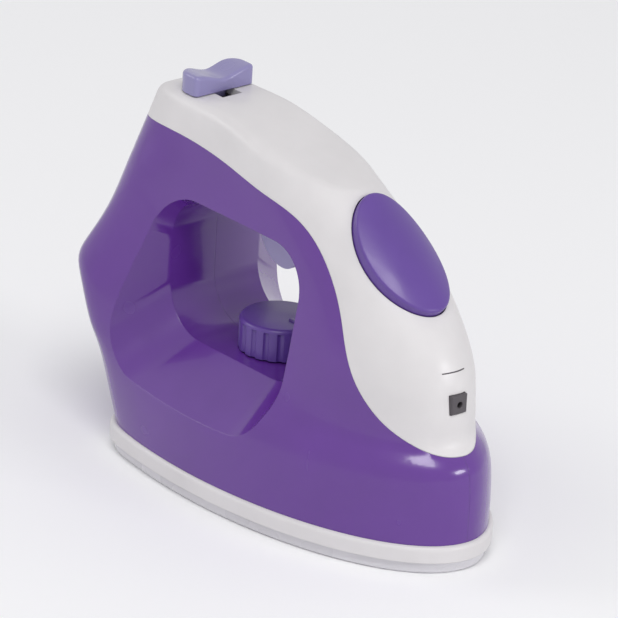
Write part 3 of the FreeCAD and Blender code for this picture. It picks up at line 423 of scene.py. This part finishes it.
def dark_acetal():
    """Dark grey acetal of the nozzle: waxy and never quite shiny. The strip over the nozzle wears
    it too, as painted shade of a slit.
    """
    return moulded(
        "dark grey acetal", settings().plastic.nozzle, roughness=0.5, coat=0.0,
        peel=0.7 * MM, depth=0.02 * MM,
    )


def natural_nylon():
    """Undyed nylon of the hidden pieces."""
    return moulded(
        "natural nylon", settings().plastic.inner, roughness=0.5, coat=0.0,
        peel=0.8 * MM, depth=0.02 * MM,
    )


def drawn_steel():
    """Spring wire and strip: bright, with fine lines from the drawing die."""
    material, tree, output = new_material("drawn spring steel")
    if tree is None:
        return material
    place = add(tree, "TexCoord").outputs["Object"]
    lines = add(
        tree, "TexNoise", {"Scale": 1 / DIE_LINE_SIZE, "Detail": 2.0}, {"Vector": place}
    )
    gloss = add(
        tree, "MapRange", {"To Min": 0.22, "To Max": 0.4}, {"Value": lines.outputs["Fac"]}
    )
    surface = add(
        tree, "BsdfPrincipled", {"Base Color": [*linear(SPRING_STEEL), 1], "Metallic": 1.0},
        {"Roughness": gloss.outputs["Result"]},
    )
    tree.links.new(surface.outputs["BSDF"], output.inputs["Surface"])
    return material


def zinc_plated_steel():
    """Zinc plate on screws: blue-grey, with cloudy crystals about half a millimetre wide."""
    material, tree, output = new_material("zinc plated steel")
    if tree is None:
        return material
    place = add(tree, "TexCoord").outputs["Object"]
    crystals = add(tree, "TexVoronoi", {"Scale": 1 / CRYSTAL_SIZE}, {"Vector": place})
    # Inputs 6 and 7 of a colour mix are its two colours, and output 2 is the result.
    tint = add(
        tree, "Mix", {6: [*linear(ZINC_DARK), 1], 7: [*linear(ZINC_LIGHT), 1]},
        {0: crystals.outputs["Distance"]}, data_type="RGBA",
    )
    surface = add(
        tree, "BsdfPrincipled", {"Metallic": 1.0, "Roughness": 0.34},
        {"Base Color": tint.outputs[2]},
    )
    tree.links.new(surface.outputs["BSDF"], output.inputs["Surface"])
    return material


def pale_floor():
    """Matt, nearly white studio paper that keeps the iron's shadow."""
    material, tree, output = new_material("studio paper")
    if tree is None:
        return material
    surface = add(
        tree, "BsdfPrincipled", {"Base Color": [*linear(STUDIO_PAPER), 1], "Roughness": 0.9}
    )
    tree.links.new(surface.outputs["BSDF"], output.inputs["Surface"])
    return material


# Tools for pieces

def settings():
    """The settings that the scene keeps."""
    return bpy.context.scene.toy_iron


def only(piece):
    """Selects one object and makes it active."""
    bpy.ops.object.select_all(action="DESELECT")
    piece.select_set(True)
    bpy.context.view_layer.objects.active = piece


def settle(piece, name, material, body, nodes=()):
    """Names a piece, moves its place into its mesh and joins it to a body and a finish."""
    piece.name = name
    piece.data.name = name
    only(piece)
    bpy.ops.object.transform_apply(location=True, rotation=True, scale=True)
    piece.data.materials.clear()
    piece.data.materials.append(material)
    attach(piece, body)
    if nodes:
        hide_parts(*nodes)
    return piece


def dress(node, name, material):
    """Smoothly shaded copy of a frame node, shown in its place."""
    source = frame["nodes"][node]
    piece = source.copy()
    piece.data = source.data.copy()
    body = piece["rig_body"]
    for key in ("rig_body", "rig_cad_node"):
        del piece[key]
    piece.parent = None
    bpy.context.scene.collection.objects.link(piece)
    only(piece)
    bpy.ops.mesh.customdata_custom_splitnormals_clear()
    bpy.ops.object.mode_set(mode="EDIT")
    bpy.ops.mesh.select_all(action="SELECT")
    bpy.ops.mesh.remove_doubles(threshold=MERGE)
    bpy.ops.object.mode_set(mode="OBJECT")
    bpy.ops.object.shade_smooth_by_angle(angle=math.radians(MOULDED_ANGLE))
    return settle(piece, name, material, body, [node])


def dress_spring(node, name, axis, fixed_end):
    """Dressed copy of a coil spring, given a mesh of its own. Nothing makes it close with the
    joint's travel.

    Fixed_end is min where the coil's low end along the axis stays, and max where its high end does;
    the anchor worked out from it is not used."""
    piece = dress(node, name, drawn_steel())
    axis = Vector(axis).normalized()
    reach = [vertex.co.dot(axis) for vertex in piece.data.vertices]
    low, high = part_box(node)
    centre = (low + high) / 2
    anchor = centre + axis * (fixed_end(reach) - centre.dot(axis))
    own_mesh(piece)


def finish_node(node, material):
    """Gives a frame node that keeps its own mesh a better finish."""
    piece = frame["nodes"][node]
    piece.data.materials.clear()
    piece.data.materials.append(material)


def bevelled_block(size, place):
    """A block with rounded edges."""
    bpy.ops.object.select_all(action="DESELECT")
    bpy.ops.mesh.primitive_cube_add(size=1.0, location=place)
    piece = bpy.context.object
    piece.scale = size
    bpy.ops.object.transform_apply(location=False, rotation=False, scale=True)
    bpy.ops.object.mode_set(mode="EDIT")
    bpy.ops.mesh.select_all(action="SELECT")
    bpy.ops.mesh.bevel(
        offset=BLOCK_ROUNDING * min(size), segments=BLOCK_STEPS, affect="EDGES"
    )
    bpy.ops.object.mode_set(mode="OBJECT")
    bpy.ops.object.shade_smooth_by_angle(angle=math.radians(TRIM_ANGLE))
    return piece


def strip_from_ahead(target, width, height, thick, place):
    """A thin strip laid from ahead on a curved piece, and sunk in for most of its thickness."""
    bpy.ops.object.select_all(action="DESELECT")
    bpy.ops.mesh.primitive_grid_add(
        x_subdivisions=STRIP_STEPS, y_subdivisions=2, size=1.0, location=place,
        rotation=(math.radians(90), 0, math.radians(90)),
    )
    piece = bpy.context.object
    piece.scale = (width, height, 1)
    bpy.ops.object.transform_apply(location=True, rotation=True, scale=True)
    wrap = piece.modifiers.new("wrap", "SHRINKWRAP")
    wrap.target = target
    wrap.wrap_method = "PROJECT"
    wrap.use_project_x = True
    wrap.use_positive_direction = False
    wrap.use_negative_direction = True
    body = piece.modifiers.new("thickness", "SOLIDIFY")
    body.thickness = thick
    body.offset = SUNK_SHARE
    for step in ("wrap", "thickness"):
        bpy.ops.object.modifier_apply(modifier=step)
    bpy.ops.object.shade_smooth_by_angle(angle=math.radians(TRIM_ANGLE))
    return piece


# Pieces

class TOYIRON_OT_body_shells(Operator):
    """Dresses the two purple body shells"""

    bl_idname = "toyiron.body_shells"
    bl_label = "Body shells"

    def execute(self, context):
        dress("body_shell_right", "shell_right", polished_purple_abs())
        dress("body_shell_left", "shell_left", polished_purple_abs())
        return {"FINISHED"}


class TOYIRON_OT_handle_cover(Operator):
    """Dresses the white cover over the handle and the nose"""

    bl_idname = "toyiron.handle_cover"
    bl_label = "Handle cover"

    def execute(self, context):
        dress("handle_cover", "cover", satin_white_abs())
        return {"FINISHED"}


class TOYIRON_OT_sole(Operator):
    """Dresses the soleplate and the white band above it"""

    bl_idname = "toyiron.sole"
    bl_label = "Sole"

    def execute(self, context):
        dress("soleplate", "sole", pale_sole_abs())
        dress("sole_band", "band", satin_white_abs())
        return {"FINISHED"}


class TOYIRON_OT_push_button(Operator):
    """Dresses the oval push button"""

    bl_idname = "toyiron.push_button"
    bl_label = "Push button"

    def execute(self, context):
        dress("steam_button", "push_button", button_purple_abs())
        return {"FINISHED"}


class TOYIRON_OT_thumb_slider(Operator):
    """Dresses the thumb slider"""

    bl_idname = "toyiron.thumb_slider"
    bl_label = "Thumb slider"

    def execute(self, context):
        dress("thumb_slider", "slider", satin_violet_abs())
        return {"FINISHED"}


class TOYIRON_OT_dial(Operator):
    """Dresses the dial and adds the raised pointer on its top"""

    bl_idname = "toyiron.dial"
    bl_label = "Dial"

    def execute(self, context):
        dress("thermostat_dial", "dial", button_purple_abs())
        trim = context.scene.toy_iron.trim
        low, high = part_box("thermostat_dial")
        centre = (low + high) / 2
        radius = (high.x - low.x) / 2
        middle = centre.x + POINTER_REACH * radius - trim.pointer_length / 2
        place = (middle, centre.y, high.z)
        pointer = bevelled_block(
            (trim.pointer_length, trim.pointer_width, 2 * trim.pointer_height), place
        )
        settle(pointer, "dial_pointer", button_purple_abs(), "dial")
        return {"FINISHED"}


class TOYIRON_OT_trigger(Operator):
    """Dresses the trigger"""

    bl_idname = "toyiron.trigger"
    bl_label = "Trigger"

    def execute(self, context):
        dress("trigger", "trigger_lever", satin_lilac_abs())
        finish_node("trigger_pin", drawn_steel())
        return {"FINISHED"}


class TOYIRON_OT_nozzle(Operator):
    """Dresses the spray nozzle and adds over it a dark strip, painted shade that stands for a slit
    in the cover
    """

    bl_idname = "toyiron.nozzle"
    bl_label = "Nozzle"

    def execute(self, context):
        dress("spray_nozzle", "nozzle", dark_acetal())
        trim = context.scene.toy_iron.trim
        low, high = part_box("spray_nozzle")
        ahead = (high.x + (high.z - low.z), 0, high.z + trim.slit_rise)
        # The strip's dark is painted shade: the nozzle's dark acetal on a thin strip stands in for
        # the shade inside a slit in the cover.
        slit = strip_from_ahead(
            bpy.data.objects["cover"], trim.slit_length, trim.slit_width, trim.strip_thickness,
            ahead,
        )
        settle(slit, "slit_painted_shade", dark_acetal(), "housing")
        return {"FINISHED"}


class TOYIRON_OT_hardware(Operator):
    """Finishes the springs, screws and hidden pieces"""

    bl_idname = "toyiron.hardware"
    bl_label = "Hardware"

    def execute(self, context):
        dress_spring(
            "button_spring", "button_coil", BUTTON_AXIS, min
        )
        dress_spring(
            "trigger_spring", "trigger_coil", (0, 0, 1), max
        )
        for node in ("slider_bow_spring", "click_spring"):
            finish_node(node, drawn_steel())
        for node in ("keeper_screw", "dial_screw", "body_screws", "sole_screws"):
            finish_node(node, zinc_plated_steel())
        for node in ("button_seat", "slider_keeper", "click_wheel"):
            finish_node(node, natural_nylon())
        return {"FINISHED"}


class TOYIRON_OT_stage(Operator):
    """Makes the floor, the lights and the camera"""

    bl_idname = "toyiron.stage"
    bl_label = "Stage"

    def execute(self, context):
        studio = context.scene.toy_iron.studio
        low, high = CAD_BOX
        reach = (high - low).length
        bpy.ops.object.select_all(action="DESELECT")
        bpy.ops.mesh.primitive_plane_add(size=FLOOR_REACH * reach, location=(0, 0, low.z))
        floor = context.object
        floor.name = "floor"
        floor.data.materials.append(pale_floor())
        self.add_lights(studio, reach)
        self.add_camera(context, studio)
        self.add_sky(context, studio)
        context.scene.view_settings.view_transform = "Standard"
        return {"FINISHED"}

    def add_sky(self, context, studio):
        """Even light all round: one strength on the iron, one in its gloss, one for the camera."""
        world = bpy.data.worlds.new("pale studio")
        context.scene.world = world
        world.use_nodes = True
        tree = world.node_tree
        tree.nodes.clear()
        rays = add(tree, "LightPath")
        lit = add(
            tree, "MapRange", {"To Min": studio.sky, "To Max": studio.mirror},
            {"Value": rays.outputs["Is Glossy Ray"]},
        )
        strength = add(
            tree, "MapRange", {"To Max": 1.0},
            {"Value": rays.outputs["Is Camera Ray"], "To Min": lit.outputs["Result"]},
        )
        sky = add(
            tree, "Background", {"Color": [*linear(STUDIO_SKY), 1]},
            {"Strength": strength.outputs["Result"]},
        )
        add(tree, "OutputWorld", links={"Surface": sky.outputs["Background"]})

    def add_lights(self, studio, reach):
        """A large soft key light over the nose, a fill from the heel and a low light from ahead."""
        for name, place, size, share in LAMPS:
            spot = Vector(place) * reach
            bpy.ops.object.light_add(type="AREA", location=spot)
            lamp = bpy.context.object
            lamp.name = name
            lamp.data.shape = "RECTANGLE"
            lamp.data.size = size * reach
            lamp.data.size_y = size * reach * LAMP_SHAPE
            lamp.data.energy = studio.key_power * share
            lamp.rotation_euler = (-spot).to_track_quat("-Z", "Y").to_euler()

    def add_camera(self, context, studio):
        """Stands where the photograph was taken from, turned and zoomed to the iron."""
        a, e = studio.azimuth, studio.elevation
        back = Vector((math.sin(a) * math.cos(e), -math.cos(a) * math.cos(e), math.sin(e)))
        eye = Vector((0, 0, SIGHT_HEIGHT)) + back * studio.distance
        turn = (-back).to_track_quat("-Z", "Y").to_matrix().to_4x4()
        lean = Matrix.Rotation(studio.lean, 4, "Z")
        data = bpy.data.cameras.new("photograph")
        camera = bpy.data.objects.new("photograph", data)
        context.scene.collection.objects.link(camera)
        camera.matrix_world = Matrix.Translation(eye) @ turn @ lean
        data.lens = studio.lens
        data.sensor_width = SENSOR_MM
        data.clip_start = NEAR_CLIP
        context.scene.camera = camera


PIECES = (
    TOYIRON_OT_body_shells,
    TOYIRON_OT_handle_cover,
    TOYIRON_OT_sole,
    TOYIRON_OT_push_button,
    TOYIRON_OT_thumb_slider,
    TOYIRON_OT_dial,
    TOYIRON_OT_trigger,
    TOYIRON_OT_nozzle,
    TOYIRON_OT_hardware,
    TOYIRON_OT_stage,
)


class IronSettings(PropertyGroup):
    """All settings of the toy iron."""

    plastic: PointerProperty(type=PlasticSettings)
    trim: PointerProperty(type=TrimSettings)
    studio: PointerProperty(type=StudioSettings)


class TOYIRON_PT_panel(Panel):
    """Lists the iron's pieces in the sidebar"""

    bl_idname = "TOYIRON_PT_panel"
    bl_label = "Toy iron"
    bl_space_type = "VIEW_3D"
    bl_region_type = "UI"
    bl_category = "Toy iron"

    def draw(self, context):
        for piece in PIECES:
            self.layout.operator(piece.bl_idname)


CLASSES = (PlasticSettings, TrimSettings, StudioSettings, IronSettings, *PIECES, TOYIRON_PT_panel)


def register():
    for made in CLASSES:
        bpy.utils.register_class(made)
    bpy.types.Scene.toy_iron = PointerProperty(type=IronSettings)


def unregister():
    del bpy.types.Scene.toy_iron
    for made in reversed(CLASSES):
        bpy.utils.unregister_class(made)


def main():
    register()
    for piece in PIECES:
        group, name = piece.bl_idname.split(".")
        getattr(getattr(bpy.ops, group), name)()


if __name__ == "__main__":
    main()
